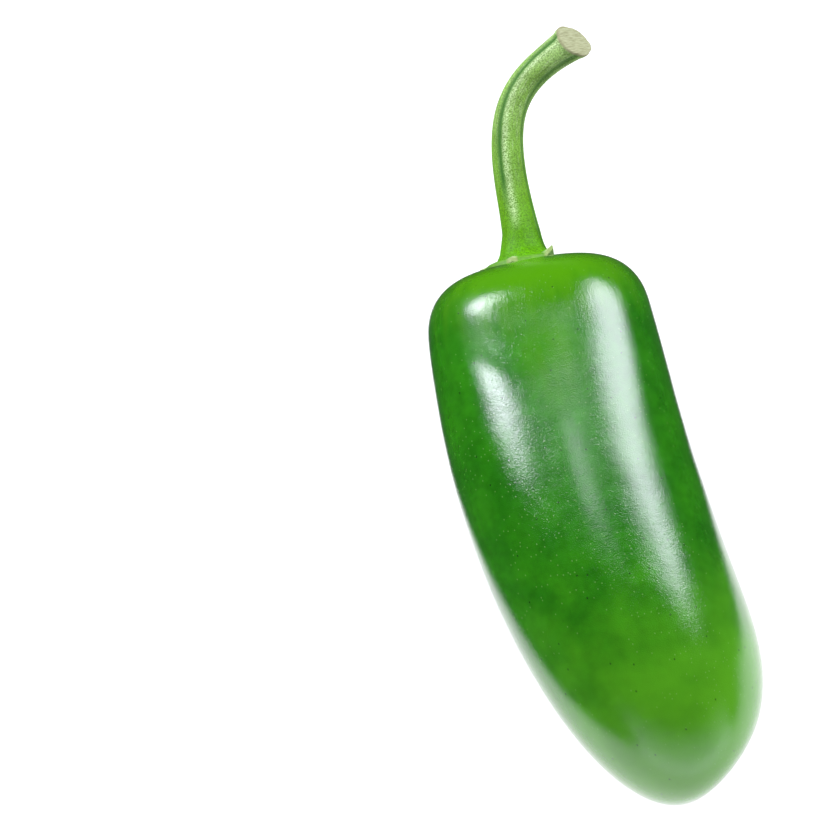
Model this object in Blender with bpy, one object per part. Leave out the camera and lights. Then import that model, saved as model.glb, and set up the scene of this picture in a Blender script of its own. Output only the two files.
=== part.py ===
"""Green chilli of the blunt, thick-walled jalapeno kind: whole, as picked, lying on its side.

Metres, +Z up. The origin is on the surface, under the middle of the pepper. The stem points to +Y and
the tip to -Y. "along" is a distance down a piece's own middle line, and an angle goes round that line
from its top towards +X.
"""

import math

import bmesh
import bpy
from mathutils import Vector

for leftover in list(bpy.data.objects):
    bpy.data.objects.remove(leftover)

# Where the pod's middle line starts, at the stem end
SEAT = Vector((0.0020, 0.0249, 0.0166))

# Pod: its middle line bows to -X, then turns to +X and sinks a little at the tip
POD_LENGTH = 0.0759
POD_LINE = [
    SEAT + Vector(step)
    for step in (
        (0.0000, 0.0000, 0.0000),
        (-0.0027, -0.0190, 0.0000),
        (-0.0060, -0.0380, 0.0000),
        (-0.0036, -0.0569, 0.0008),
        (0.0038, -0.0759, -0.0039),
    )
]
POD_RADIUS = 0.0166
POD_TAPER = 0.0013  # radius lost from the stem end to the tip
POD_BELLY = 0.0095  # radius lost towards the ends, by the square of the distance from the middle
SHOULDER_DEPTH = 0.0116
SHOULDER_SQUARENESS = 3.2
DIP_DEPTH = 0.0008  # hollow in the shoulder that the calyx sits in
DIP_RADIUS = 0.0065
TIP_DEPTH = 0.0282
TIP_SQUARENESS = 3.7
NOSE_LENGTH = 0.0006
NOSE_WIDTH = 0.57  # share of the pod's radius
SCAR_DEPTH = 0.0005  # pit left by the flower, at the tip
SCAR_RADIUS = 0.0013

# Pod: three blunt lobes that fade away from the shoulder, and ends that aren't cut square
LOBES = 3
LOBE_RISE = 0.082  # share of the pod's radius
LOBE_REACH = 0.45  # share of the pod's length
LOBE_ANGLE = math.radians(46)
SHOULDER_TILT = 0.095  # the shoulder faces upwards by this slope
TILT_REACH = 0.30  # share of the pod's length
TIP_SKEW = 0.213  # the tip faces +X by this slope
SKEW_START = 0.55  # share of the pod's length

# Calyx: a thin saucer on the shoulder, with small pointed teeth round its rim
CALYX_SIDE = -0.0011  # its middle, off the pod's middle line
CALYX_UP = 0.0003
CALYX_RADIUS = 0.0052
CALYX_THICKNESS = 0.0011
RIM_THICKNESS = 0.0006
THINNING_POWER = 6  # the thickness falls by this power of the radius, so only near the rim
TEETH = 5
TOOTH_LENGTH = 0.0010
TOOTH_LIFT = 0.0014
TOOTH_HALF_WIDTH = math.radians(9)
TOOTH_ANGLE = math.radians(45)
TOOTH_POWER = 6  # a tooth draws out by this power of the radius, so only near the rim

# Stem: leaves the calyx backwards, then curls to +X and upwards
STEM_LENGTH = 0.0366
STEM_LINE = [
    SEAT + Vector(step)
    for step in (
        (-0.0009, 0.0016, 0.0005),
        (0.0013, 0.0079, 0.0010),
        (-0.0003, 0.0246, 0.0017),
        (0.0057, 0.0268, 0.0041),
        (0.0152, 0.0275, 0.0099),
    )
]
STEM_RADIUS = 0.00255
STEM_THINNING = 0.0006  # radius lost from the calyx to the cut end
FOOT_FLARE = 0.0013
FOOT_REACH = 0.0032
FOOT_BLEND = 0.0040  # over this distance the stem takes up its own direction
END_FLARE = 0.0008
END_REACH = 0.0022
COLLAR_LENGTH = 0.0014  # swollen ring at the cut end
# Collar's outline as (share of its length, share of its radius)
COLLAR_SHAPE = ((0.15, 0.93), (0.4, 1.02), (0.7, 1.02), (0.9, 0.98), (1.0, 0.88))
RIBS = 6
RIB_RISE = 0.055  # share of the stem's radius

GAP = 0.0003  # clearance where one piece sits on another

# Colours as red, green and blue, with the roughness of each piece
POD_COLOUR, POD_ROUGHNESS = (0.02, 0.17, 0.015), 0.25
CALYX_COLOUR, CALYX_ROUGHNESS = (0.10, 0.30, 0.03), 0.55
STEM_COLOUR, STEM_ROUGHNESS = (0.16, 0.38, 0.04), 0.50

# How finely the pieces are divided
POD_SIDES = 48
SHOULDER_STEPS = 13
SIDE_STEPS = 12
TIP_STEPS = 20
CALYX_SIDES = 80
CALYX_RINGS = 6
STEM_SIDES = 36
STEM_RINGS = 36
SAME_POINT = 1e-6  # corners nearer than this are merged
SHARP_ANGLE = math.radians(50)  # an edge that turns further than this is shaded sharp


def on_line(controls, share):
    """Point on the Bezier curve of these control points, and its heading there."""
    points = controls
    while len(points) > 2:
        points = [start.lerp(end, share) for start, end in zip(points, points[1:])]
    return points[0].lerp(points[1], share), (points[1] - points[0]).normalized()


def beside_line(controls, share, radius, angle):
    """Point at this radius and angle, square to the curve."""
    point, heading = on_line(controls, share)
    side = Vector((-heading.y, heading.x, 0)).normalized()
    top = heading.cross(side)
    return point + (side * math.sin(angle) + top * math.cos(angle)) * radius


def rounded_end(depth, squareness, steps):
    """Arc of a superellipse, as (share of the radius, depth below the end), from the middle outwards."""
    for step in range(steps + 1):
        turn = math.pi / 2 * step / steps
        across, down = math.sin(turn), max(0, math.cos(turn))
        size = (across**squareness + down**squareness) ** (-1 / squareness)
        yield across * size, depth * (1 - down * size)


def body_radius(along):
    """Radius of the pod before its ends close in."""
    share = along / POD_LENGTH - 0.5
    return POD_RADIUS - POD_TAPER * share - POD_BELLY * share**2


def dip(radius):
    """How far the hollow round the calyx sinks the shoulder at this radius."""
    return DIP_DEPTH * math.exp(-((radius / DIP_RADIUS) ** 2))


def pod_profile():
    """Half outline of the pod as (radius, along), from the stem end to the tip."""
    side_length = POD_LENGTH - SHOULDER_DEPTH - TIP_DEPTH
    outline = []
    for share, depth in rounded_end(SHOULDER_DEPTH, SHOULDER_SQUARENESS, SHOULDER_STEPS):
        outline.append((share, depth + dip(share * body_radius(0))))
    for step in range(1, SIDE_STEPS):
        outline.append((1, SHOULDER_DEPTH + side_length * step / SIDE_STEPS))
    for share, depth in reversed(list(rounded_end(TIP_DEPTH, TIP_SQUARENESS, TIP_STEPS))):
        nose = NOSE_LENGTH * math.exp(-((share / NOSE_WIDTH) ** 2))
        scar = SCAR_DEPTH * math.exp(-((share * POD_RADIUS / SCAR_RADIUS) ** 2))
        outline.append((share, POD_LENGTH - depth + nose - scar))
    return [(share * body_radius(along), along) for share, along in outline]


def pod_point(radius, along, angle):
    """Place of a point of the turned pod on the bent and lobed one."""
    share = along / POD_LENGTH
    lobe = LOBE_RISE * math.exp(-((share / LOBE_REACH) ** 2))
    radius *= 1 + lobe * math.cos(LOBES * (angle - LOBE_ANGLE))
    tilt = SHOULDER_TILT * math.exp(-((share / TILT_REACH) ** 2)) * math.cos(angle)
    skew = TIP_SKEW * max(0, (share - SKEW_START) / (1 - SKEW_START)) * math.sin(angle)
    return beside_line(POD_LINE, (along + (tilt - skew) * radius) / POD_LENGTH, radius, angle)


def shoulder_point(side, up, height):
    """Point over the pod's stem end: sideways and up from the middle line, and this high off the skin."""
    radius, angle = math.hypot(side, up), math.atan2(side, up)
    share = radius / body_radius(0)
    depth = SHOULDER_DEPTH * (1 - (1 - share**SHOULDER_SQUARENESS) ** (1 / SHOULDER_SQUARENESS))
    return pod_point(radius, depth + dip(radius) - height, angle)


def turned(outline, sides):
    """Closed mesh of an outline of (radius, height) points, from axis to axis, turned round the Z axis."""
    mesh = bmesh.new()
    corners = [mesh.verts.new((0, radius, height)) for radius, height in outline]
    edges = [mesh.edges.new(pair) for pair in zip(corners, corners[1:])]
    bmesh.ops.spin(
        mesh,
        geom=corners + edges,
        cent=(0, 0, 0),
        axis=(0, 0, 1),
        angle=math.tau,
        steps=sides,
        use_merge=True,
    )
    bmesh.ops.remove_doubles(mesh, verts=mesh.verts, dist=SAME_POINT)
    return mesh


def shape(mesh, place):
    """Moves each vertex of a turned mesh to place(radius, height, angle)."""
    for vertex in mesh.verts:
        x, y, height = vertex.co
        vertex.co = place(math.hypot(x, y), height, math.atan2(x, y))


def add_object(name, mesh, colour, roughness):
    """Object of this mesh, shaded smooth, in a material of its own."""
    bmesh.ops.recalc_face_normals(mesh, faces=mesh.faces)
    if mesh.calc_volume(signed=True) < 0:
        bmesh.ops.reverse_faces(mesh, faces=mesh.faces)
    data = bpy.data.meshes.new(name)
    mesh.to_mesh(data)
    mesh.free()
    data.shade_smooth()
    data.set_sharp_from_angle(angle=SHARP_ANGLE)
    material = bpy.data.materials.new(name)
    material.use_nodes = True
    shader = material.node_tree.nodes["Principled BSDF"]
    shader.inputs["Base Color"].default_value = (*colour, 1)
    shader.inputs["Roughness"].default_value = roughness
    shader.inputs["Metallic"].default_value = 0
    data.materials.append(material)
    bpy.context.scene.collection.objects.link(bpy.data.objects.new(name, data))


def add_pod():
    """Fruit: one smooth, thick-skinned body, a little flat where its weight rests on the surface."""
    mesh = turned(pod_profile(), POD_SIDES)
    shape(mesh, pod_point)
    for vertex in mesh.verts:
        vertex.co.z = max(vertex.co.z, 0)
    add_object("pod", mesh, POD_COLOUR, POD_ROUGHNESS)


def tooth_share(angle):
    """1 on the middle of a tooth, falling straight to 0 at its sides."""
    pitch = math.tau / TEETH
    off = abs((angle - TOOTH_ANGLE + pitch / 2) % pitch - pitch / 2)
    return max(0, 1 - off / TOOTH_HALF_WIDTH)


def calyx_point(radius, height, angle):
    """Place of a point of the turned saucer, with its teeth drawn out and lifted, on the pod's shoulder."""
    tooth = tooth_share(angle) * (radius / CALYX_RADIUS) ** TOOTH_POWER
    radius += TOOTH_LENGTH * tooth
    height += TOOTH_LIFT * tooth
    side, up = CALYX_SIDE + radius * math.sin(angle), CALYX_UP + radius * math.cos(angle)
    return shoulder_point(side, up, GAP + height)


def add_calyx():
    """Calyx: lies on the shoulder, thick and flat under the stem and thin at the rim."""
    shares = [ring / CALYX_RINGS for ring in range(CALYX_RINGS + 1)]
    outline = [(CALYX_RADIUS * share, 0) for share in shares]
    for share in reversed(shares):
        swell = (CALYX_THICKNESS - RIM_THICKNESS) * (1 - share**THINNING_POWER)
        outline.append((CALYX_RADIUS * share, RIM_THICKNESS + swell))
    mesh = turned(outline, CALYX_SIDES)
    shape(mesh, calyx_point)
    add_object("calyx", mesh, CALYX_COLOUR, CALYX_ROUGHNESS)


def stem_radius(along):
    """Radius of the stem before its ribs: wide at the foot, slowly thinning, wider again at the cut end."""
    foot = FOOT_FLARE * math.exp(-along / FOOT_REACH)
    end = END_FLARE * math.exp((along - STEM_LENGTH) / END_REACH)
    return STEM_RADIUS - STEM_THINNING * along / STEM_LENGTH + foot + end


def stem_profile():
    """Half outline of the stem as (radius, along), from its foot to the middle of its cut end."""
    tube = STEM_LENGTH - COLLAR_LENGTH
    outline = [(0, 0)]
    for ring in range(STEM_RINGS + 1):
        along = tube * ring / STEM_RINGS
        outline.append((stem_radius(along), along))
    for share, rise in COLLAR_SHAPE:
        outline.append((stem_radius(STEM_LENGTH) * rise, tube + COLLAR_LENGTH * share))
    return outline + [(0, STEM_LENGTH)]


def stem_point(radius, along, angle):
    """Place of a point of the turned stem on the curled, ribbed one, with its foot square to the calyx."""
    ribbed = radius * (1 + RIB_RISE * math.cos(RIBS * angle))
    point = beside_line(STEM_LINE, along / STEM_LENGTH, ribbed, -angle)  # it heads to +Y, the pod to -Y
    side, up = CALYX_SIDE + radius * math.sin(angle), CALYX_UP + radius * math.cos(angle)
    foot = shoulder_point(side, up, GAP + CALYX_THICKNESS + GAP + along)
    return foot.lerp(point, min(1, along / FOOT_BLEND))


def add_stem():
    """Stem: a curled, ribbed stalk with a flared foot and a slightly swollen cut end."""
    mesh = turned(stem_profile(), STEM_SIDES)
    shape(mesh, stem_point)
    add_object("stem", mesh, STEM_COLOUR, STEM_ROUGHNESS)


add_pod()
add_calyx()
add_stem()
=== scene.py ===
"""A whole green chilli of the blunt jalapeno kind, as picked, on a white table under soft studio light.

Metres, +Z up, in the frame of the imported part: the stem points to +Y and the tip to -Y.
"""

import math

import bmesh
import bpy
from mathutils import Matrix, Vector, noise


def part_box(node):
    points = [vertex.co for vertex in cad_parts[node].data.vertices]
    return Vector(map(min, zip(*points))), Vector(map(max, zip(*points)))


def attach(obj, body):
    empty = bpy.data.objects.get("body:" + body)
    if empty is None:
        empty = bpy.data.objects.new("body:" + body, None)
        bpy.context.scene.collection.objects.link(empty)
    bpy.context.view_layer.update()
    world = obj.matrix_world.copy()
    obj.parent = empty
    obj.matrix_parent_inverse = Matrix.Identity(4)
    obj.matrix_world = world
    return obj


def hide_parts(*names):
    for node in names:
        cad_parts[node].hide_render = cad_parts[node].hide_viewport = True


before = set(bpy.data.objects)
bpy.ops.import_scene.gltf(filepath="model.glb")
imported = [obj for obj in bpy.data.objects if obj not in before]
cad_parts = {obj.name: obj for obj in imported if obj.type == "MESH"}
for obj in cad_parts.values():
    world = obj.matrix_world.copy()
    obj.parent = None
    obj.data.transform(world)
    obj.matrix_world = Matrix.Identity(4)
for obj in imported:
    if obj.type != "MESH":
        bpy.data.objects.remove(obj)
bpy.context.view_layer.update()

# Pod
# The fruit: a thick wall of green flesh under a tight, waxy skin. It grew in one piece, in three blunt
# lobes, with no seam or edge: a turned outline is bent along the fruit's own middle line and lobed, and
# the wall then swells and sinks softly over the seeds' ribs.

pod_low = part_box("pod")[0]

# Where the middle line starts at the stem end, and the steps that it then takes
SEAT = pod_low + Vector((0.02055, 0.07993, 0.0166))
POD_LENGTH = 0.0759
POD_LINE = [
    SEAT + Vector(step)
    for step in (
        (0.0000, 0.0000, 0.0000),
        (-0.0027, -0.0190, 0.0000),
        (-0.0060, -0.0380, 0.0000),
        (-0.0036, -0.0569, 0.0008),
        (0.0038, -0.0759, -0.0039),
    )
]
POD_RADIUS = 0.0166
POD_TAPER = 0.0013  # radius lost from the stem end to the tip
POD_BELLY = 0.0095  # radius lost towards the ends, by the square of the distance from the middle
SHOULDER_DEPTH = 0.0116
SHOULDER_SQUARENESS = 3.2
DIP_DEPTH = 0.0008  # hollow in the shoulder that the calyx sits in
DIP_RADIUS = 0.0065
TIP_DEPTH = 0.0282
TIP_SQUARENESS = 3.7
NOSE_LENGTH = 0.0006
NOSE_WIDTH = 0.57  # share of the pod's radius
SCAR_DEPTH = 0.0005  # pit left by the flower, at the tip
SCAR_RADIUS = 0.0013
LOBES = 3
LOBE_RISE = 0.082  # share of the pod's radius
LOBE_REACH = 0.45  # share of the pod's length
LOBE_ANGLE = math.radians(46)
SHOULDER_TILT = 0.095  # the shoulder faces upwards by this slope
TILT_REACH = 0.30
TIP_SKEW = 0.213  # the tip faces +X by this slope
SKEW_START = 0.55

POD_SIDES = 240
SHOULDER_STEPS = 50
SIDE_STEPS = 60
TIP_STEPS = 90

# Soft swells and hollows of the wall: where along the pod and at what angle, how far each reaches along
# and around, and how high it stands, in millimetres and degrees
SWELLS = (
    (11.8, -37, 3.4, 6.0, -0.16),
    (18.3, -33, 4.2, 7.0, 0.16),
    (14.5, -20, 5.5, 4.0, -0.18),
    (14.0, 14, 4.5, 3.0, -0.12),
    (29.0, -5, 6.0, 2.6, 0.16),
    (39.0, -6, 7.0, 2.6, 0.16),
    (51.0, -2, 6.0, 2.8, 0.14),
    (59.0, -9, 4.0, 4.0, 0.10),
    (35.0, -18, 10.0, 3.0, -0.14),
    (47.0, 12, 5.0, 3.0, -0.10),
)
# Waves of the wall: length and height of each, in metres
WAVES = ((0.014, 0.00010), (0.0055, 0.00003), (0.0024, 0.000006))


def on_line(controls, share):
    """Point on the Bezier curve of these control points, and its heading there."""
    points = controls
    while len(points) > 2:
        points = [start.lerp(end, share) for start, end in zip(points, points[1:])]
    return points[0].lerp(points[1], share), (points[1] - points[0]).normalized()


def beside_line(controls, share, radius, angle):
    """Point at this radius and angle, square to the curve. The angle goes round from the top."""
    point, heading = on_line(controls, share)
    side = Vector((-heading.y, heading.x, 0)).normalized()
    top = heading.cross(side)
    return point + (side * math.sin(angle) + top * math.cos(angle)) * radius


def rounded_end(depth, squareness, steps):
    """Arc of a superellipse, as (share of the radius, depth below the end), from the middle outwards."""
    for step in range(steps + 1):
        turn = math.pi / 2 * step / steps
        across, down = math.sin(turn), max(0, math.cos(turn))
        size = (across**squareness + down**squareness) ** (-1 / squareness)
        yield across * size, depth * (1 - down * size)


def body_radius(along):
    """Radius of the pod before its ends close in."""
    share = along / POD_LENGTH - 0.5
    return POD_RADIUS - POD_TAPER * share - POD_BELLY * share**2


def dip(radius):
    """How far the hollow round the calyx sinks the shoulder at this radius."""
    return DIP_DEPTH * math.exp(-((radius / DIP_RADIUS) ** 2))


def pod_outline():
    """Half outline of the pod as (radius, along), from the stem end to the tip."""
    side_length = POD_LENGTH - SHOULDER_DEPTH - TIP_DEPTH
    outline = []
    for share, depth in rounded_end(SHOULDER_DEPTH, SHOULDER_SQUARENESS, SHOULDER_STEPS):
        outline.append((share, depth + dip(share * body_radius(0))))
    for step in range(1, SIDE_STEPS):
        outline.append((1, SHOULDER_DEPTH + side_length * step / SIDE_STEPS))
    for share, depth in reversed(list(rounded_end(TIP_DEPTH, TIP_SQUARENESS, TIP_STEPS))):
        nose = NOSE_LENGTH * math.exp(-((share / NOSE_WIDTH) ** 2))
        scar = SCAR_DEPTH * math.exp(-((share * POD_RADIUS / SCAR_RADIUS) ** 2))
        outline.append((share, POD_LENGTH - depth + nose - scar))
    return [(share * body_radius(along), along) for share, along in outline]


def apart(angle, other):
    """Smallest turn from one angle to another."""
    return abs((angle - other + math.pi) % math.tau - math.pi)


def swell(radius, along, angle):
    """How far the named swells and hollows lift the skin."""
    height = 0
    for middle, towards, reach_along, reach_around, rise in SWELLS:
        down = (along * 1000 - middle) / reach_along
        around = radius * 1000 * apart(angle, math.radians(towards)) / reach_around
        height += rise / 1000 * math.exp(-(down**2) - around**2)
    return height


def pod_point(radius, along, angle):
    """Place of a point of the turned pod on the bent and lobed one."""
    share = along / POD_LENGTH
    lobe = LOBE_RISE * math.exp(-((share / LOBE_REACH) ** 2))
    radius *= 1 + lobe * math.cos(LOBES * (angle - LOBE_ANGLE))
    tilt = SHOULDER_TILT * math.exp(-((share / TILT_REACH) ** 2)) * math.cos(angle)
    skew = TIP_SKEW * max(0, (share - SKEW_START) / (1 - SKEW_START)) * math.sin(angle)
    return beside_line(POD_LINE, (along + (tilt - skew) * radius) / POD_LENGTH, radius, angle)


def skin_point(radius, along, angle):
    """As pod_point, with the wall's swells and waves."""
    smooth = pod_point(radius, along, angle)
    wave = sum(height * noise.noise(smooth / length) for length, height in WAVES)
    rise = (swell(radius, along, angle) + wave) * min(1, radius / DIP_RADIUS)
    return pod_point(radius + rise, along, angle)


def shoulder_point(side, up, height):
    """Point over the pod's stem end: sideways and up from the middle line, and this high off the skin."""
    radius, angle = math.hypot(side, up), math.atan2(side, up)
    share = radius / body_radius(0)
    depth = SHOULDER_DEPTH * (1 - (1 - share**SHOULDER_SQUARENESS) ** (1 / SHOULDER_SQUARENESS))
    return pod_point(radius, depth + dip(radius) - height, angle)


def turned(outline, sides):
    """Closed mesh of an outline of (radius, height) points, from axis to axis, turned round the Z axis."""
    mesh = bmesh.new()
    corners = [mesh.verts.new((0, radius, height)) for radius, height in outline]
    edges = [mesh.edges.new(pair) for pair in zip(corners, corners[1:])]
    bmesh.ops.spin(
        mesh,
        geom=corners + edges,
        cent=(0, 0, 0),
        axis=(0, 0, 1),
        angle=math.tau,
        steps=sides,
        use_merge=True,
    )
    bmesh.ops.remove_doubles(mesh, verts=mesh.verts, dist=1e-6)
    return mesh


def shape(mesh, place):
    """Moves each turned vertex to place(radius, height, angle), and keeps its old place as "grown"."""
    grown = mesh.verts.layers.float_vector.new("grown")
    for vertex in mesh.verts:
        vertex[grown] = vertex.co
        x, y, height = vertex.co
        vertex.co = place(math.hypot(x, y), height, math.atan2(x, y))


def finished(name, mesh, material, sharp_angle=180):
    """Object of this mesh, closed, facing outwards and shaded smooth."""
    bmesh.ops.recalc_face_normals(mesh, faces=mesh.faces)
    if mesh.calc_volume(signed=True) < 0:
        bmesh.ops.reverse_faces(mesh, faces=mesh.faces)
    data = bpy.data.meshes.new(name)
    mesh.to_mesh(data)
    mesh.free()
    data.shade_smooth()
    data.set_sharp_from_angle(angle=math.radians(sharp_angle))
    data.materials.append(material)
    piece = bpy.data.objects.new(name, data)
    bpy.context.scene.collection.objects.link(piece)
    return piece


def linear(colour):
    """Linear RGBA of an sRGB hex colour."""
    parts = [int(colour[start : start + 2], 16) / 255 for start in (1, 3, 5)]
    return [part / 12.92 if part <= 0.04045 else ((part + 0.055) / 1.055) ** 2.4 for part in parts] + [1]


def node(tree, kind, settings=None, inputs=None):
    """Adds a shader node. Its inputs, by name or number, are given a value or another node's output."""
    added = tree.nodes.new("ShaderNode" + kind)
    for name, value in (settings or {}).items():
        setattr(added, name, value)
    for name, value in (inputs or {}).items():
        if isinstance(value, bpy.types.NodeSocket):
            tree.links.new(value, added.inputs[name])
        else:
            added.inputs[name].default_value = value
    return added


def waxy_skin():
    """Living chilli skin: dark green flesh under a thin, clear wax. The flesh gives a deep, blotchy green
    that turns yellower where the skin is young, at the stem. Towards the tip it is painted lighter and
    yellower, for the light that falls there. The wax gives a clear gloss that breaks up into grain at its
    edges, because each skin cell bulges a little."""
    DEEP, MID = linear("#1e6e06"), linear("#2a7f08")
    YOUNG, TIP_LIGHT = linear("#4a9006"), linear("#5cac1c")
    PALE, DARK, SCAR = linear("#8fc46a"), linear("#0c2a06"), linear("#4a3c1a")
    BLOTCH, FLECK = 0.0060, 0.0012
    # The young skin's middle, how far from there it is young altogether and at all, and its ragged streaks
    YOUNG_MIDDLE = SEAT + Vector((0, 0, 0.006))
    YOUNG_FULL, YOUNG_END, YOUNG_RAGGED = 0.0055, 0.0165, 0.008
    RAGS_AROUND, RAGS_ALONG = 600, 120  # to the metre
    HOLLOW_AROUND, HOLLOW_ALONG = -0.0015, 0.0150  # the middle of the young streak between the lobes
    HOLLOW_WIDTH, HOLLOW_LENGTH = 0.0060, 0.0120
    # Where the painted light on the tip begins and is full, and how unevenly
    TIP_START, TIP_FULL, TIP_UNEVEN = 0.046, 0.080, 0.005
    SPECK_SPACING, SPECK_SIZE, SPECK_STRENGTH = 0.0009, 0.00013, 0.36
    DOT_SPACING, DOT_SIZE, DOT_STRENGTH = 0.0060, 0.00018, 0.7
    SPOTS_START, SPOTS_FULL = 0.003, 0.006  # distance along the pod
    PATCH = 0.016
    # The wax: size and height of its relief. The cells are drawn somewhat larger than life, to show.
    CELL, CELL_HEIGHT = 0.00015, 0.000023
    PEEL, PEEL_HEIGHT = 0.0011, 0.000014
    SPECK_HEIGHT = 0.000006
    STREAK_WIDTH, STREAK_LENGTH, STREAK_HEIGHT = 0.00035, 0.0050, 0.000022
    STREAKS_FULL, STREAKS_END = 0.006, 0.020  # distance along the pod

    material = bpy.data.materials.new("waxy chilli skin")
    material.use_nodes = True
    tree = material.node_tree
    shader = tree.nodes["Principled BSDF"]
    place = node(tree, "TexCoord").outputs["Object"]
    grown = node(tree, "Attribute", {"attribute_name": "grown"}).outputs["Vector"]
    axes = node(tree, "SeparateXYZ", {}, {0: grown}).outputs
    along = axes["Z"]
    turn = node(tree, "Math", {"operation": "ARCTAN2"}, {0: axes["X"], 1: axes["Y"]}).outputs[0]
    around = node(tree, "Math", {"operation": "MULTIPLY"}, {0: turn, 1: POD_RADIUS}).outputs[0]
    unrolled = node(tree, "CombineXYZ", {}, {0: around, 1: along}).outputs[0]

    blotch = node(tree, "TexNoise", {}, {"Vector": place, "Scale": 1 / BLOTCH, "Detail": 2}).outputs["Fac"]
    blotch = node(tree, "MapRange", {}, {0: blotch, 1: 0.35, 2: 0.65}).outputs[0]
    green = node(tree, "Mix", {"data_type": "RGBA"}, {0: blotch, 6: DEEP, 7: MID}).outputs[2]
    fleck = node(tree, "TexNoise", {}, {"Vector": place, "Scale": 1 / FLECK, "Detail": 3}).outputs["Fac"]
    shade = node(tree, "MapRange", {}, {0: fleck, 1: 0.3, 2: 0.7, 3: 0.88, 4: 1.12}).outputs[0]
    green = node(tree, "VectorMath", {"operation": "SCALE"}, {0: green, "Scale": shade}).outputs[0]

    # Young skin, yellower, round the stem and a little way down the hollow between the lobes
    rag_place = node(tree, "Mapping", {}, {0: grown, 3: (RAGS_AROUND, RAGS_AROUND, RAGS_ALONG)}).outputs[0]
    ragged = node(tree, "TexNoise", {}, {"Vector": rag_place, "Scale": 1, "Detail": 3}).outputs["Fac"]
    off_middle = node(
        tree, "VectorMath", {"operation": "DISTANCE"}, {0: place, 1: YOUNG_MIDDLE}
    ).outputs["Value"]
    reach = node(
        tree, "Math", {"operation": "MULTIPLY_ADD"}, {0: ragged, 1: -YOUNG_RAGGED, 2: off_middle}
    ).outputs[0]
    young = node(
        tree, "MapRange", {"interpolation_type": "SMOOTHSTEP"}, {0: reach, 1: YOUNG_END, 2: YOUNG_FULL}
    ).outputs[0]
    hollow_place = node(
        tree,
        "Mapping",
        {},
        {
            0: unrolled,
            1: (-HOLLOW_AROUND / HOLLOW_WIDTH, -HOLLOW_ALONG / HOLLOW_LENGTH, 0),
            3: (1 / HOLLOW_WIDTH, 1 / HOLLOW_LENGTH, 0),
        },
    ).outputs[0]
    hollow = node(tree, "VectorMath", {"operation": "LENGTH"}, {0: hollow_place}).outputs["Value"]
    hollow = node(
        tree, "MapRange", {"interpolation_type": "SMOOTHSTEP"}, {0: hollow, 1: 1.2, 2: 0.2}
    ).outputs[0]
    hollow = node(tree, "Math", {"operation": "MULTIPLY"}, {0: hollow, 1: ragged}).outputs[0]
    young = node(tree, "Math", {"operation": "MAXIMUM"}, {0: young, 1: hollow}).outputs[0]
    green = node(tree, "Mix", {"data_type": "RGBA"}, {0: young, 6: green, 7: YOUNG}).outputs[2]

    # Painted light: the tip lighter and yellower, for the light that falls on it
    uneven = node(
        tree, "Math", {"operation": "MULTIPLY_ADD"}, {0: blotch, 1: TIP_UNEVEN, 2: along}
    ).outputs[0]
    tip_light = node(
        tree, "MapRange", {"interpolation_type": "SMOOTHSTEP"}, {0: uneven, 1: TIP_START, 2: TIP_FULL}
    ).outputs[0]
    green = node(tree, "Mix", {"data_type": "RGBA"}, {0: tip_light, 6: green, 7: TIP_LIGHT}).outputs[2]

    # Pale specks, crowded in some patches and missing from others, and a few dark dots
    cells = node(
        tree, "TexVoronoi", {"voronoi_dimensions": "2D"}, {"Vector": unrolled, "Scale": 1 / SPECK_SPACING}
    ).outputs
    speck = node(
        tree,
        "MapRange",
        {"interpolation_type": "SMOOTHSTEP"},
        {0: cells["Distance"], 1: SPECK_SIZE / SPECK_SPACING, 2: 0.3 * SPECK_SIZE / SPECK_SPACING},
    ).outputs[0]
    lot = node(tree, "SeparateColor", {}, {0: cells["Color"]}).outputs[0]
    patch = node(tree, "TexNoise", {}, {"Vector": place, "Scale": 1 / PATCH, "Detail": 1}).outputs["Fac"]
    crowd = node(tree, "MapRange", {}, {0: patch, 1: 0.42, 2: 0.62, 3: 0.02, 4: 0.45}).outputs[0]
    kept = node(tree, "Math", {"operation": "LESS_THAN"}, {0: lot, 1: crowd}).outputs[0]
    # The shoulder's flat has none: they would be drawn out there
    off_flat = node(tree, "MapRange", {}, {0: along, 1: SPOTS_START, 2: SPOTS_FULL}).outputs[0]
    kept = node(tree, "Math", {"operation": "MULTIPLY"}, {0: kept, 1: off_flat}).outputs[0]
    speck = node(tree, "Math", {"operation": "MULTIPLY"}, {0: speck, 1: kept}).outputs[0]
    shown = node(tree, "Math", {"operation": "MULTIPLY"}, {0: speck, 1: SPECK_STRENGTH}).outputs[0]
    green = node(tree, "Mix", {"data_type": "RGBA"}, {0: shown, 6: green, 7: PALE}).outputs[2]
    spots = node(
        tree, "TexVoronoi", {"voronoi_dimensions": "2D"}, {"Vector": unrolled, "Scale": 1 / DOT_SPACING}
    ).outputs
    dot = node(
        tree,
        "MapRange",
        {"interpolation_type": "SMOOTHSTEP"},
        {
            0: spots["Distance"],
            1: DOT_SIZE / DOT_SPACING,
            2: 0.4 * DOT_SIZE / DOT_SPACING,
            4: DOT_STRENGTH,
        },
    ).outputs[0]
    dot = node(tree, "Math", {"operation": "MULTIPLY"}, {0: dot, 1: off_flat}).outputs[0]
    green = node(tree, "Mix", {"data_type": "RGBA"}, {0: dot, 6: green, 7: DARK}).outputs[2]

    # The flower's scar
    off_tip = node(
        tree, "VectorMath", {"operation": "DISTANCE"}, {0: grown, 1: Vector((0, 0, POD_LENGTH))}
    ).outputs["Value"]
    scar = node(
        tree,
        "MapRange",
        {"interpolation_type": "SMOOTHSTEP"},
        {0: off_tip, 1: 1.3 * SCAR_RADIUS, 2: 0.6 * SCAR_RADIUS},
    ).outputs[0]
    green = node(tree, "Mix", {"data_type": "RGBA"}, {0: scar, 6: green, 7: SCAR}).outputs[2]
    tree.links.new(green, shader.inputs["Base Color"])

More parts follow.
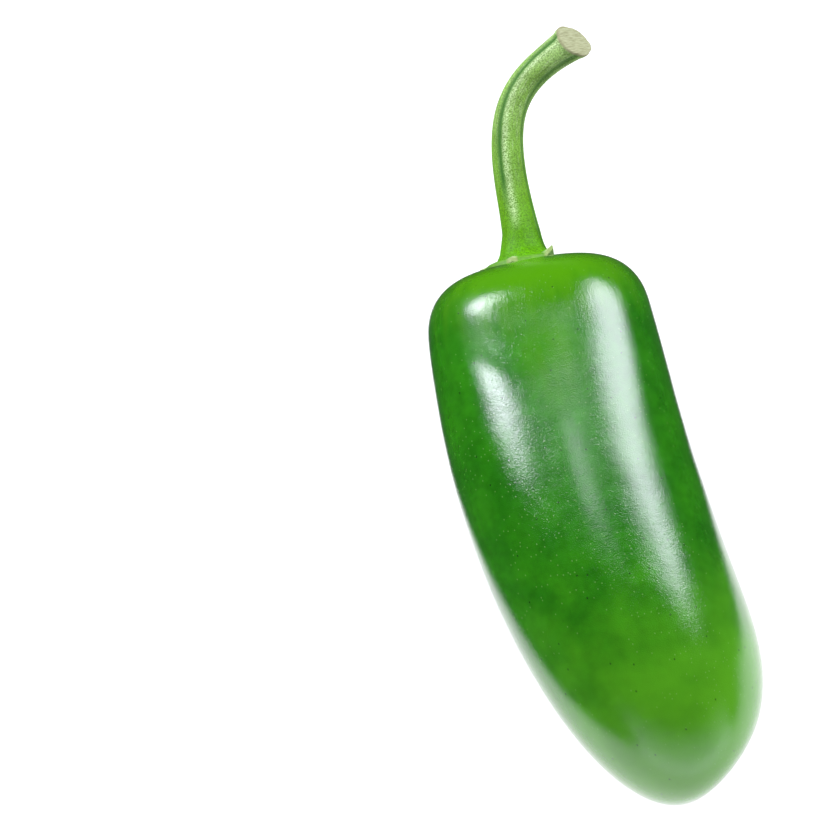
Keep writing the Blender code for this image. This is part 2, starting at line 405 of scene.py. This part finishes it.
    # Wax: bulging skin cells, a soft peel and fine streaks that run away from the stem
    cell = node(tree, "TexNoise", {}, {"Vector": place, "Scale": 1 / CELL, "Detail": 1}).outputs["Fac"]
    peel = node(tree, "TexNoise", {}, {"Vector": place, "Scale": 1 / PEEL, "Detail": 1}).outputs["Fac"]
    drawn = node(
        tree, "Mapping", {}, {0: grown, 3: (1 / STREAK_WIDTH, 1 / STREAK_WIDTH, 1 / STREAK_LENGTH)}
    ).outputs[0]
    streak = node(tree, "TexNoise", {}, {"Vector": drawn, "Scale": 1, "Detail": 1}).outputs["Fac"]
    streaked = node(
        tree, "MapRange", {}, {0: along, 1: STREAKS_END, 2: STREAKS_FULL, 4: STREAK_HEIGHT}
    ).outputs[0]
    height = node(tree, "Math", {"operation": "MULTIPLY"}, {0: streak, 1: streaked}).outputs[0]
    for relief, rise in ((cell, CELL_HEIGHT), (peel, PEEL_HEIGHT), (speck, SPECK_HEIGHT)):
        height = node(
            tree, "Math", {"operation": "MULTIPLY_ADD"}, {0: relief, 1: rise, 2: height}
        ).outputs[0]
    bump = node(tree, "Bump", {}, {"Height": height, "Distance": 1.0, "Strength": 1.0}).outputs[0]
    tree.links.new(bump, shader.inputs["Normal"])
    tree.links.new(bump, shader.inputs["Coat Normal"])
    rough = node(tree, "MapRange", {}, {0: fleck, 1: 0.3, 2: 0.7, 3: 0.14, 4: 0.19}).outputs[0]
    tree.links.new(rough, shader.inputs["Roughness"])
    shader.inputs["IOR"].default_value = 1.5
    shader.inputs["Coat Weight"].default_value = 1.0
    shader.inputs["Coat Roughness"].default_value = 0.11
    shader.inputs["Coat IOR"].default_value = 1.5
    return material


pod_mesh = turned(pod_outline(), POD_SIDES)
shape(pod_mesh, skin_point)
# It rests on a small flat spot
for vertex in pod_mesh.verts:
    vertex.co.z = max(vertex.co.z, 0)
pod = finished("pod_skin", pod_mesh, waxy_skin())
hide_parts("pod")
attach(pod, "root")

# Calyx
# What is left of the flower: a thin green saucer grown onto the shoulder, with five small pointed teeth
# that pale as they dry. A flat turned disc is laid on the shoulder, and its rim is drawn out and lifted at
# each tooth.

CALYX_SIDE = -0.0011  # its middle, off the pod's middle line
CALYX_UP = 0.0003
CALYX_RADIUS = 0.0052
CALYX_TOP = 0.0014  # over the skin
RIM_TOP = 0.0008
RIM_UNDER = 0.0002
MIDDLE_SUNK = 0.0003  # into the skin, so that no gap is left under it
THINNING_POWER = 6
# Teeth: angle, how far each reaches out, and how far it is lifted
TEETH = (
    (math.radians(40), 0.0008, 0.0011),
    (math.radians(-24), 0.0002, 0.0002),
    (math.radians(-97), 0.0009, 0.0003),
    (math.radians(112), 0.0010, 0.0004),
    (math.radians(183), 0.0010, 0.0005),
)
TOOTH_HALF_WIDTH = math.radians(9)
TOOTH_POWER = 7
VEIN_HEIGHT = 0.00015
VEIN_WIDTH = math.radians(7)
RIM_WAVE = 0.00012
DRY_RIM = 0.15  # how dry the rim is, and how much drier its teeth are
DRY_TOOTH = 0.65
DRY_POWER = 40  # how late the dryness, and the teeth's paleness, set in on the way out
PALE_POWER = 8
CALYX_SIDES = 360
CALYX_RINGS = 26


def nearest_tooth(angle):
    """Share of the nearest tooth, 1 on its middle and 0 at its sides, with its reach and its lift."""
    middle, reach, lift = min(TEETH, key=lambda tooth: apart(angle, tooth[0]))
    return max(0, 1 - apart(angle, middle) / TOOTH_HALF_WIDTH), reach, lift


def calyx_point(radius, height, angle):
    """Place of a point of the turned saucer on the pod's shoulder."""
    rim = (radius / CALYX_RADIUS) ** TOOTH_POWER
    share, reach, lift = nearest_tooth(angle)
    vein = max(math.exp(-((apart(angle, tooth[0]) / VEIN_WIDTH) ** 2)) for tooth in TEETH)
    wave = RIM_WAVE * rim * noise.noise(Vector((math.sin(angle), math.cos(angle), 0)) * 3)
    if height > CALYX_TOP / 2:
        height += VEIN_HEIGHT * vein * (radius / CALYX_RADIUS) * (1 - rim)
    radius += reach * share * rim + wave
    height += lift * share * rim + wave
    side, up = CALYX_SIDE + radius * math.sin(angle), CALYX_UP + radius * math.cos(angle)
    return shoulder_point(side, up, height)


def calyx_outline():
    """Half outline of the saucer as (radius, height over the skin), from its under side to its top."""
    shares = [math.sin(math.pi / 2 * ring / CALYX_RINGS) for ring in range(CALYX_RINGS + 1)]
    outline = []
    for share in shares:
        under = RIM_UNDER * share**THINNING_POWER - MIDDLE_SUNK * (1 - share)
        outline.append((CALYX_RADIUS * share, under))
    for share in reversed(shares):
        top = RIM_TOP + (CALYX_TOP - RIM_TOP) * (1 - share**THINNING_POWER)
        outline.append((CALYX_RADIUS * share, top))
    return outline


def calyx_flesh():
    """Calyx flesh: thin, matt green leaf tissue, greyer where its rim dries and paler on the teeth."""
    FRESH, SHADE, DRY = linear("#66a81a"), linear("#4e8e14"), linear("#7f9c3c")
    LIP = linear("#c6d6a0")
    GRAIN, GRAIN_HEIGHT = 0.0004, 0.00003

    material = bpy.data.materials.new("calyx leaf tissue")
    material.use_nodes = True
    tree = material.node_tree
    shader = tree.nodes["Principled BSDF"]
    place = node(tree, "TexCoord").outputs["Object"]
    edge = node(tree, "Attribute", {"attribute_name": "edge"}).outputs["Fac"]
    inner = node(tree, "Attribute", {"attribute_name": "inner"}).outputs["Fac"]
    grain = node(tree, "TexNoise", {}, {"Vector": place, "Scale": 1 / GRAIN, "Detail": 3}).outputs["Fac"]
    share = node(tree, "MapRange", {}, {0: grain, 1: 0.35, 2: 0.65}).outputs[0]
    green = node(tree, "Mix", {"data_type": "RGBA"}, {0: share, 6: SHADE, 7: FRESH}).outputs[2]
    green = node(tree, "Mix", {"data_type": "RGBA"}, {0: inner, 6: green, 7: LIP}).outputs[2]
    green = node(tree, "Mix", {"data_type": "RGBA"}, {0: edge, 6: green, 7: DRY}).outputs[2]
    tree.links.new(green, shader.inputs["Base Color"])
    bump = node(tree, "Bump", {}, {"Height": grain, "Distance": GRAIN_HEIGHT, "Strength": 1.0}).outputs[0]
    tree.links.new(bump, shader.inputs["Normal"])
    shader.inputs["Roughness"].default_value = 0.55
    return material


calyx_mesh = turned(calyx_outline(), CALYX_SIDES)
edge = calyx_mesh.verts.layers.float.new("edge")
inner = calyx_mesh.verts.layers.float.new("inner")
for vertex in calyx_mesh.verts:
    x, y = vertex.co.xy
    out = math.hypot(x, y) / CALYX_RADIUS
    tooth = nearest_tooth(math.atan2(x, y))[0]
    vertex[edge] = out**DRY_POWER * (DRY_RIM + DRY_TOOTH * (tooth > 0))
    vertex[inner] = min(1, 2 * tooth) * out**PALE_POWER
shape(calyx_mesh, calyx_point)
calyx = finished("calyx_saucer", calyx_mesh, calyx_flesh(), 40)
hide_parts("calyx")
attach(calyx, "root")

# Stem
# The stalk: a tough green stem with rounded ribs and narrow grooves between them, a flared foot that
# grows out of the calyx, and a swollen end with a pale cut face. A turned outline is pulled in at each
# groove and bent along the stalk's own curl.

STEM_LENGTH = 0.0366
STEM_LINE = [
    SEAT + Vector(step)
    for step in (
        (-0.0009, 0.0016, 0.0005),
        (0.0013, 0.0079, 0.0010),
        (-0.0003, 0.0246, 0.0017),
        (0.0057, 0.0268, 0.0041),
        (0.0152, 0.0275, 0.0099),
    )
]
STEM_RADIUS = 0.00262
STEM_THINNING = 0.0006
FOOT_HEIGHT = 0.0017  # over the skin
FOOT_SUNK = 0.0009  # of it runs down into the calyx
FOOT_FLARE = 0.0013
FOOT_SIDE_TRIM = 0.0008  # less flare on the outer side of the curl
FOOT_REACH = 0.0032
FOOT_FILLET = 0.0003
FILLET_REACH = 0.0005
FOOT_BLEND = 0.0040
END_FLARE = 0.0005
END_REACH = 0.0030
END_SIDE_FLARE = 0.0006  # more on the outer side of the curl
END_SIDE_REACH = 0.0040
END_TRIM = 0.0002  # how far back the middle of the cut is
END_SLANT = 0.0004  # how much further back still the outer side is cut
END_SLOPE = 0.0009  # and the upper side
COLLAR_LENGTH = 0.0010
# The collar's outline, as shares of its length and of the stem's radius
COLLAR_SHAPE = (
    (0.25, 0.99),
    (0.5, 1.0),
    (0.7, 1.005),
    (0.85, 1.0),
    (0.94, 0.985),
    (0.985, 0.96),
    (1.0, 0.92),
)
FACE_BULGE = 0.00004
FACE_DEPTH = 0.00005  # the cut face is all that lies this near the end
FACE_ROUGHNESS = 0.00006
FACE_GRAIN = 0.0005
# Grooves: angle, depth, width, and how far up the stem each begins
GROOVES = (
    (math.radians(-33), 0.00026, 0.00048, 0.011),
    (math.radians(66), 0.00020, 0.00050, 0.000),
    (math.radians(128), 0.00018, 0.00055, 0.000),
    (math.radians(192), 0.00020, 0.00060, 0.000),
    (math.radians(258), 0.00018, 0.00055, 0.000),
)
GROOVE_FADE = 0.004
GROOVE_LOSS = 0.6  # share of its depth that a groove loses at the foot
DARK_DEPTH = 0.00020  # painted shade: a groove this deep is darkened by DARK_SHARE, and none by more than DARKEST
DARK_SHARE = 0.7
DARKEST = 0.9
HIGHLIGHT_ANGLE = math.radians(-13)  # the highest rib, painted pale as a highlight
HIGHLIGHT_WIDTH = 0.00065
HIGHLIGHT_START = 0.0035
HIGHLIGHT_SHARE = 0.8
CUT_START = 0.00045  # before the end, where the skin gives way to the pale cut
CUT_FADE = 0.0002
RELIEF_RADIUS = 0.0026  # the fibres and wrinkles are those of a tube of this radius
FIBRE_HEIGHT = 0.00003
FIBRE_WIDTH = 0.0005
FIBRE_LENGTH = 0.006
WRINKLE_HEIGHT = 0.00010
WRINKLE_SIZE = 0.0005
WRINKLE_REACH = 0.0012
STEM_SIDES = 180
STEM_RINGS = 280
FACE_RINGS = 14


def stem_radius(along):
    """Radius of the stem before its grooves: wide at the foot, slowly thinning, wider at the cut end."""
    foot = FOOT_FLARE * math.exp(-along / FOOT_REACH)
    fillet = FOOT_FILLET * math.exp(-max(0, along) / FILLET_REACH)
    end = END_FLARE * math.exp((along - STEM_LENGTH) / END_REACH)
    return STEM_RADIUS - STEM_THINNING * along / STEM_LENGTH + foot + fillet + end


def stem_outline():
    """Half outline of the stem as (radius, along), from its foot to the middle of its cut end."""
    tube = STEM_LENGTH - COLLAR_LENGTH
    outline = [(0, -FOOT_SUNK)]
    for ring in range(STEM_RINGS + 1):
        along = -FOOT_SUNK + (tube + FOOT_SUNK) * ring / STEM_RINGS
        outline.append((stem_radius(along), along))
    for share, rise in COLLAR_SHAPE:
        outline.append((stem_radius(STEM_LENGTH) * rise, tube + COLLAR_LENGTH * share))
    face = stem_radius(STEM_LENGTH) * COLLAR_SHAPE[-1][1]
    for ring in range(1, FACE_RINGS + 1):
        share = ring / FACE_RINGS
        outline.append((face * (1 - share), STEM_LENGTH + FACE_BULGE * math.sin(math.pi * share)))
    return outline


def groove_depth(radius, along, angle):
    """How deep the grooves are at this place."""
    depths = 0
    for middle, depth, width, begins in GROOVES:
        risen = min(1, max(0, (along - begins) / GROOVE_FADE + 1))
        depths += depth * risen * math.exp(-((radius * apart(angle, middle) / width) ** 2))
    return depths


def stem_point(radius, along, angle):
    """Place of a point of the turned stem on the curled and grooved one."""
    whole = min(1, radius / STEM_RADIUS)
    ring = Vector((math.sin(angle), math.cos(angle), 0))
    around = ring * RELIEF_RADIUS
    drawn = Vector((around.x / FIBRE_WIDTH, around.y / FIBRE_WIDTH, along / FIBRE_LENGTH))
    fibre = FIBRE_HEIGHT * noise.noise(drawn)
    near_foot = math.exp(-((max(0, along) / WRINKLE_REACH) ** 2))
    wrinkled = Vector((around.x, around.y, along)) / WRINKLE_SIZE
    wrinkle = WRINKLE_HEIGHT * near_foot * noise.noise(wrinkled)
    grooved = groove_depth(radius, along, angle) * (1 - GROOVE_LOSS * near_foot)
    relief = (fibre + wrinkle - grooved) * whole
    if along > STEM_LENGTH - FACE_DEPTH:
        along += FACE_ROUGHNESS * noise.noise(ring * radius / FACE_GRAIN)
    outer = max(0, -math.sin(angle)) * whole
    near_end = math.exp((along - STEM_LENGTH) / END_SIDE_REACH)
    relief += END_SIDE_FLARE * outer * near_end
    lean = END_SLOPE * math.cos(angle) - END_SLANT * math.sin(angle)
    along -= (END_TRIM + lean * radius / stem_radius(STEM_LENGTH)) * near_end
    relief -= FOOT_SIDE_TRIM * outer * math.exp(-max(0, along) / FOOT_REACH)
    point = beside_line(STEM_LINE, along / STEM_LENGTH, radius + relief, -angle)
    side = CALYX_SIDE + (radius + relief) * math.sin(angle)
    up = CALYX_UP + (radius + relief) * math.cos(angle)
    foot = shoulder_point(side, up, FOOT_HEIGHT + along)
    return foot.lerp(point, min(1, max(0, along) / FOOT_BLEND))


def stalk():
    """Chilli stalk: a tough, fibrous green stem with a satin, finely scaly skin, paler where it dries by
    the cut end, with a dry, cream coloured cut face. Its upper part and its fibres there carry painted
    sheen, the highest rib a painted highlight, and the grooves painted shade."""
    # Painted sheen: the upper colour is paler for the glints on the upper stem's scales. The pale colour
    # serves for the painted highlights and for the dried skin by the cut.
    FOOT, MIDDLE, UPPER_SHEEN = linear("#549604"), linear("#5f980a"), linear("#84b04e")
    # Painted shade: the groove colour darkens the grooves.
    GROOVE_SHADE, SHEEN_AND_DRY = linear("#2e6a18"), linear("#bcd49c")
    CUT, CUT_SHADE, BARK = linear("#b4ba90"), linear("#969a70"), linear("#7c7c52")
    # Fine fibres of the skin, its scales and broad clouds, with the height of what stands up
    THREAD_WIDTH, THREAD_LENGTH, THREAD_HEIGHT = 0.00025, 0.0030, 0.000030
    SCALE, SCALE_HEIGHT = 0.00020, 0.000070
    CLOUD = 0.0030
    # Distances along the stem where the colours change, the painted sheen of the upper part among them
    SHEEN_START, SHEEN_FULL = 0.008, 0.024
    FOOT_FULL, FOOT_END = 0.001, 0.009
    DRY_START, DRY_SHARE = STEM_LENGTH - 0.0070, 0.5
    # The cut face: its fibres, to the metre, their turn, and the distance out of its darker rim
    PITH_ACROSS, PITH_ALONG, PITH_TURN = 5000, 900, 0.6
    RIM_START, RIM_FULL, RIM_SHARE = 0.00225, 0.00265, 0.7

    material = bpy.data.materials.new("chilli stalk")
    material.use_nodes = True
    tree = material.node_tree
    shader = tree.nodes["Principled BSDF"]
    place = node(tree, "TexCoord").outputs["Object"]
    grown = node(tree, "Attribute", {"attribute_name": "grown"}).outputs["Vector"]
    # Attributes from the mesh: painted shade in the grooves, a painted highlight on the highest rib, and
    # the cut face
    groove_shade = node(tree, "Attribute", {"attribute_name": "groove_shade"}).outputs["Fac"]
    rib_highlight = node(tree, "Attribute", {"attribute_name": "rib_highlight"}).outputs["Fac"]
    cut = node(tree, "Attribute", {"attribute_name": "cut"}).outputs["Fac"]
    axes = node(tree, "SeparateXYZ", {}, {0: grown}).outputs
    along = axes["Z"]
    drawn = node(
        tree, "Mapping", {}, {0: grown, 3: (1 / THREAD_WIDTH, 1 / THREAD_WIDTH, 1 / THREAD_LENGTH)}
    ).outputs[0]
    thread = node(tree, "TexNoise", {}, {"Vector": drawn, "Scale": 1, "Detail": 2}).outputs["Fac"]
    scale = node(tree, "TexNoise", {}, {"Vector": place, "Scale": 1 / SCALE, "Detail": 2}).outputs["Fac"]
    broad = node(tree, "TexNoise", {}, {"Vector": place, "Scale": 1 / CLOUD, "Detail": 2}).outputs["Fac"]

    # Painted sheen: the upper part, and its fibres there, are paler for the glints of the scales
    upper_sheen = node(tree, "MapRange", {}, {0: along, 1: SHEEN_START, 2: SHEEN_FULL}).outputs[0]
    foot = node(tree, "MapRange", {}, {0: along, 1: FOOT_END, 2: FOOT_FULL}).outputs[0]
    green = node(tree, "Mix", {"data_type": "RGBA"}, {0: upper_sheen, 6: MIDDLE, 7: UPPER_SHEEN}).outputs[2]
    green = node(tree, "Mix", {"data_type": "RGBA"}, {0: foot, 6: green, 7: FOOT}).outputs[2]
    fibre_sheen = node(tree, "MapRange", {}, {0: thread, 1: 0.50, 2: 0.72, 4: 0.6}).outputs[0]
    fibre_sheen = node(tree, "Math", {"operation": "MULTIPLY"}, {0: fibre_sheen, 1: upper_sheen}).outputs[0]
    green = node(tree, "Mix", {"data_type": "RGBA"}, {0: fibre_sheen, 6: green, 7: SHEEN_AND_DRY}).outputs[2]
    # The pale end, where the skin has dried a little beside the cut
    drying = node(tree, "MapRange", {}, {0: along, 1: DRY_START, 2: STEM_LENGTH, 4: DRY_SHARE}).outputs[0]
    drying = node(tree, "Math", {"operation": "MULTIPLY"}, {0: drying, 1: broad}).outputs[0]
    green = node(tree, "Mix", {"data_type": "RGBA"}, {0: drying, 6: green, 7: SHEEN_AND_DRY}).outputs[2]
    # The painted highlight along the highest rib, and the scales all over
    painted_glint = node(tree, "MapRange", {}, {0: scale, 1: 0.38, 2: 0.58, 3: 0.15, 4: 0.9}).outputs[0]
    painted_glint = node(tree, "Math", {"operation": "MULTIPLY"}, {0: painted_glint, 1: rib_highlight}).outputs[0]
    green = node(tree, "Mix", {"data_type": "RGBA"}, {0: painted_glint, 6: green, 7: SHEEN_AND_DRY}).outputs[2]
    mottle = node(tree, "MapRange", {}, {0: scale, 1: 0.32, 2: 0.68, 3: 0.62, 4: 1.38}).outputs[0]
    cloud = node(tree, "MapRange", {}, {0: broad, 1: 0.35, 2: 0.65, 3: 0.90, 4: 1.12}).outputs[0]
    shade = node(tree, "Math", {"operation": "MULTIPLY"}, {0: mottle, 1: cloud}).outputs[0]
    green = node(tree, "VectorMath", {"operation": "SCALE"}, {0: green, "Scale": shade}).outputs[0]
    # Painted shade in the grooves, darker where they are deeper
    green = node(tree, "Mix", {"data_type": "RGBA"}, {0: groove_shade, 6: green, 7: GROOVE_SHADE}).outputs[2]

    # The cut face: pale pith with faint fibres across it, and a thin darker rim of skin
    face_place = node(
        tree, "Mapping", {}, {0: grown, 2: (0, 0, PITH_TURN), 3: (PITH_ACROSS, PITH_ALONG, 0)}
    ).outputs[0]
    face_grain = node(tree, "TexNoise", {}, {"Vector": face_place, "Scale": 1, "Detail": 3}).outputs["Fac"]
    face_share = node(tree, "MapRange", {}, {0: face_grain, 1: 0.35, 2: 0.60}).outputs[0]
    pith = node(tree, "Mix", {"data_type": "RGBA"}, {0: face_share, 6: CUT_SHADE, 7: CUT}).outputs[2]
    flat = node(tree, "CombineXYZ", {}, {0: axes["X"], 1: axes["Y"]}).outputs[0]
    out = node(tree, "VectorMath", {"operation": "LENGTH"}, {0: flat}).outputs["Value"]
    rim = node(tree, "MapRange", {}, {0: out, 1: RIM_START, 2: RIM_FULL, 4: RIM_SHARE}).outputs[0]
    pith = node(tree, "Mix", {"data_type": "RGBA"}, {0: rim, 6: pith, 7: BARK}).outputs[2]
    green = node(tree, "Mix", {"data_type": "RGBA"}, {0: cut, 6: green, 7: pith}).outputs[2]
    tree.links.new(green, shader.inputs["Base Color"])

    height = node(tree, "Math", {"operation": "MULTIPLY"}, {0: thread, 1: THREAD_HEIGHT}).outputs[0]
    height = node(
        tree, "Math", {"operation": "MULTIPLY_ADD"}, {0: scale, 1: SCALE_HEIGHT, 2: height}
    ).outputs[0]
    bump = node(tree, "Bump", {}, {"Height": height, "Distance": 1.0, "Strength": 1.0}).outputs[0]
    tree.links.new(bump, shader.inputs["Normal"])
    rough = node(tree, "MapRange", {}, {0: cut, 3: 0.42, 4: 0.85}).outputs[0]
    tree.links.new(rough, shader.inputs["Roughness"])
    shader.inputs["Specular IOR Level"].default_value = 0.14
    return material


stem_mesh = turned(stem_outline(), STEM_SIDES)
groove_shade = stem_mesh.verts.layers.float.new("groove_shade")
cut = stem_mesh.verts.layers.float.new("cut")
rib_highlight = stem_mesh.verts.layers.float.new("rib_highlight")
for vertex in stem_mesh.verts:
    x, y, along = vertex.co
    radius = math.hypot(x, y)
    angle = math.atan2(x, y)
    # Painted shade, darker in deeper grooves
    vertex[groove_shade] = min(DARKEST, DARK_SHARE * groove_depth(radius, along, angle) / DARK_DEPTH)
    # Painted highlight along the highest rib, fading in from the foot
    painted_glint = min(1, max(0, (along - HIGHLIGHT_START) / HIGHLIGHT_START))
    off_rib = radius * apart(angle, HIGHLIGHT_ANGLE) / HIGHLIGHT_WIDTH
    vertex[rib_highlight] = HIGHLIGHT_SHARE * painted_glint * math.exp(-(off_rib**2))
    vertex[cut] = min(1, max(0, (along - STEM_LENGTH + CUT_START) / CUT_FADE))
shape(stem_mesh, stem_point)
stem = finished("stem_stalk", stem_mesh, stalk(), 60)
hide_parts("stem")
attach(stem, "root")

# Table
# A white, smooth table top, made of one flat sheet of card. It runs on past the picture on all sides, so
# that no edge of it shows.

FLOOR_HALF = 1.5
WHITE_GLOW = 0.82
floor_mesh = bmesh.new()
bmesh.ops.create_grid(floor_mesh, x_segments=1, y_segments=1, size=FLOOR_HALF)
floor_data = bpy.data.meshes.new("table_top")
floor_mesh.to_mesh(floor_data)
floor_mesh.free()
# Matt white card. Most of its white is a glow of its own, so that the shadow on it stays faint.
white = bpy.data.materials.new("white card")
white.use_nodes = True
shader = white.node_tree.nodes["Principled BSDF"]
shader.inputs["Base Color"].default_value = linear("#a0a0a0")
shader.inputs["Roughness"].default_value = 0.9
shader.inputs["Emission Color"].default_value = (1, 1, 1, 1)
shader.inputs["Emission Strength"].default_value = WHITE_GLOW
floor_data.materials.append(white)
floor = bpy.data.objects.new("table_top", floor_data)
bpy.context.scene.collection.objects.link(floor)

# Flags
# Three dark green cards that only reflections see. Two curve closely round the shoulder and down the
# flanks, and one lies under the stem. They keep the table's white out of the skin there, as a
# photographer's flags do.

# Each side flag from under the stem outwards: distance from the middle line, along, lower and upper edge.
# The left one has a narrow finger that parts the glow of the two lamps behind it. Towards the tip both
# rise off the table, so that its white shows in the pod's lower sides.
LEFT_FLAG = (
    (0.0000, -0.0065, 0.000, 0.010),
    (0.0056, -0.0065, 0.000, 0.012),
    (0.0066, -0.0065, 0.000, 0.027),
    (0.0130, -0.0055, 0.000, 0.030),
    (0.0180, -0.0030, 0.000, 0.031),
    (0.0192, 0.0042, 0.000, 0.031),
    (0.0192, 0.0048, 0.000, 0.052),
    (0.0194, 0.0118, 0.000, 0.052),
    (0.0194, 0.0124, 0.000, 0.031),
    (0.0204, 0.0240, 0.000, 0.031),
    (0.0250, 0.0340, 0.001, 0.031),
    (0.0300, 0.0440, 0.004, 0.030),
    (0.0335, 0.0540, 0.007, 0.030),
    (0.0340, 0.0620, 0.012, 0.030),
    (0.0335, 0.0700, 0.019, 0.030),
    (0.0325, 0.0770, 0.026, 0.030),
)
RIGHT_FLAG = (
    (0.0000, -0.0065, 0.000, 0.010),
    (0.0056, -0.0065, 0.000, 0.012),
    (0.0066, -0.0065, 0.000, 0.027),
    (0.0130, -0.0055, 0.000, 0.030),
    (0.0190, -0.0030, 0.000, 0.031),
    (0.0230, 0.0020, 0.000, 0.031),
    (0.0245, 0.0100, 0.000, 0.031),
    (0.0252, 0.0220, 0.001, 0.031),
    (0.0278, 0.0360, 0.002, 0.030),
    (0.0320, 0.0480, 0.006, 0.030),
    (0.0345, 0.0600, 0.009, 0.030),
    (0.0345, 0.0720, 0.015, 0.030),
    (0.0330, 0.0830, 0.023, 0.030),
    (0.0310, 0.0900, 0.028, 0.030),
)
# The back flag lies under the stem and then stands up behind it: along, and height
BACK_FLAG = ((-0.0065, 0.0005), (-0.0480, 0.0005), (-0.0480, 0.0500))
BACK_HALF_WIDTH = 0.045

# Matt card, of the skin's own dark green, so that the gloss turns deep green rather than black
card = bpy.data.materials.new("dark green card")
card.use_nodes = True
shader = card.node_tree.nodes["Principled BSDF"]
shader.inputs["Base Color"].default_value = linear("#12340c")
shader.inputs["Roughness"].default_value = 0.7


def wall(flag_mesh, foot):
    """Raises a wall from a line of vertices, and gives its upper corners, which still lie on that line."""
    edges = [flag_mesh.edges.new(pair) for pair in zip(foot, foot[1:])]
    raised = bmesh.ops.extrude_edge_only(flag_mesh, edges=edges)["geom"]
    return [corner for corner in raised if isinstance(corner, bmesh.types.BMVert)]


def hang_flag(name, flag_mesh):
    """Makes a flag that only reflections see."""
    data = bpy.data.meshes.new(name)
    flag_mesh.to_mesh(data)
    flag_mesh.free()
    data.materials.append(card)
    flag = bpy.data.objects.new(name, data)
    flag.visible_camera = False
    flag.visible_diffuse = False
    flag.visible_shadow = False
    bpy.context.scene.collection.objects.link(flag)


for name, side, course in (("left_flag", -1, LEFT_FLAG), ("right_flag", 1, RIGHT_FLAG)):
    flag_mesh = bmesh.new()
    foot, tops = [], []
    for off, along, low, high in course:
        beside = beside_line(POD_LINE, along / POD_LENGTH, off, side * math.pi / 2)
        foot.append(flag_mesh.verts.new((beside.x, beside.y, low)))
        tops.append(high)
    for corner in wall(flag_mesh, foot):
        nearest = min(range(len(foot)), key=lambda number: (foot[number].co - corner.co).length)
        corner.co.z = tops[nearest]
    hang_flag(name, flag_mesh)
flag_mesh = bmesh.new()
foot = []
for along, height in BACK_FLAG:
    left = beside_line(POD_LINE, along / POD_LENGTH, BACK_HALF_WIDTH, -math.pi / 2)
    foot.append(flag_mesh.verts.new((left.x, left.y, height)))
bmesh.ops.translate(flag_mesh, verts=wall(flag_mesh, foot), vec=(2 * BACK_HALF_WIDTH, 0, 0))
hang_flag("back_flag", flag_mesh)

# Light
# A wide soft lamp to the right, two narrow ones to the left and behind, a dimmer panel overhead, two long,
# dim ones in front, and a dark room.

LAMP_WHITE = (0.88, 0.87, 1.0)  # slightly cool
# Each lamp: turn from +Y towards +X and height, in degrees, distance, width, length, radiance, and roll
LAMPS = (
    ("right_lamp", 65, 43, 0.9, 0.60, 0.54, 8.8, 22),
    ("left_lamp", -57.5, 37.5, 0.9, 0.17, 0.32, 19, 16),
    ("back_left_lamp", -34, 27, 0.9, 0.29, 0.33, 20, 0),
    ("ceiling_panel", -24, 75, 0.94, 0.49, 0.27, 3.2, -28),
    ("front_card", 180, 7, 0.9, 1.90, 0.24, 1.9, 0),
    ("front_fill", 180, 23, 0.9, 1.90, 0.26, 0.9, 0),
)
ROOM_GLOW = 0.04


def hang_lamp(name, turn, height, distance, width, length, glow, roll):
    """Hangs a soft lamp that faces the pepper."""
    data = bpy.data.lights.new(name, "AREA")
    data.shape = "RECTANGLE"
    data.size = width
    data.size_y = length
    data.energy = glow * math.pi * width * length
    data.color = LAMP_WHITE
    turn, height = math.radians(turn), math.radians(height)
    level = math.cos(height)
    towards = Vector((math.sin(turn) * level, math.cos(turn) * level, math.sin(height)))
    lit = bpy.data.objects.new(name, data)
    facing = towards.to_track_quat("Z", "Y").to_matrix().to_4x4()
    rolled = Matrix.Rotation(math.radians(roll), 4, "Z")
    lit.matrix_world = Matrix.Translation(towards * distance) @ facing @ rolled
    lit.visible_camera = False
    bpy.context.scene.collection.objects.link(lit)


for lamp in LAMPS:
    hang_lamp(*lamp)

world = bpy.data.worlds.new("dark room")
world.use_nodes = True
world.node_tree.nodes["Background"].inputs["Color"].default_value = (1, 1, 1, 1)
world.node_tree.nodes["Background"].inputs["Strength"].default_value = ROOM_GLOW
bpy.context.scene.world = world
bpy.context.scene.view_settings.view_transform = "Standard"

# Camera
# It looks down steeply on the pepper, turned a little to its left. The long lens keeps the stem and the
# tip at nearly the same scale.

CAMERA_HEIGHT_ANGLE = math.radians(75)
CAMERA_TURN = math.radians(-17)
CAMERA_DISTANCE = 0.330
AIM = SEAT + Vector((-0.02342, -0.01555, 0))
LENS = 101.54
back = Vector((
    math.sin(CAMERA_TURN) * math.cos(CAMERA_HEIGHT_ANGLE),
    -math.cos(CAMERA_TURN) * math.cos(CAMERA_HEIGHT_ANGLE),
    math.sin(CAMERA_HEIGHT_ANGLE),
))
right = Vector((math.cos(CAMERA_TURN), math.sin(CAMERA_TURN), 0))
camera_data = bpy.data.cameras.new("camera")
camera_data.sensor_fit = "VERTICAL"
camera_data.sensor_height = 36
camera_data.lens = LENS
camera_data.clip_start = 0.01
camera = bpy.data.objects.new("camera", camera_data)
facing = Matrix((right, back.cross(right), back)).transposed()
camera.matrix_world = Matrix.Translation(AIM + back * CAMERA_DISTANCE) @ facing.to_4x4()
bpy.context.scene.collection.objects.link(camera)
bpy.context.scene.camera = camera
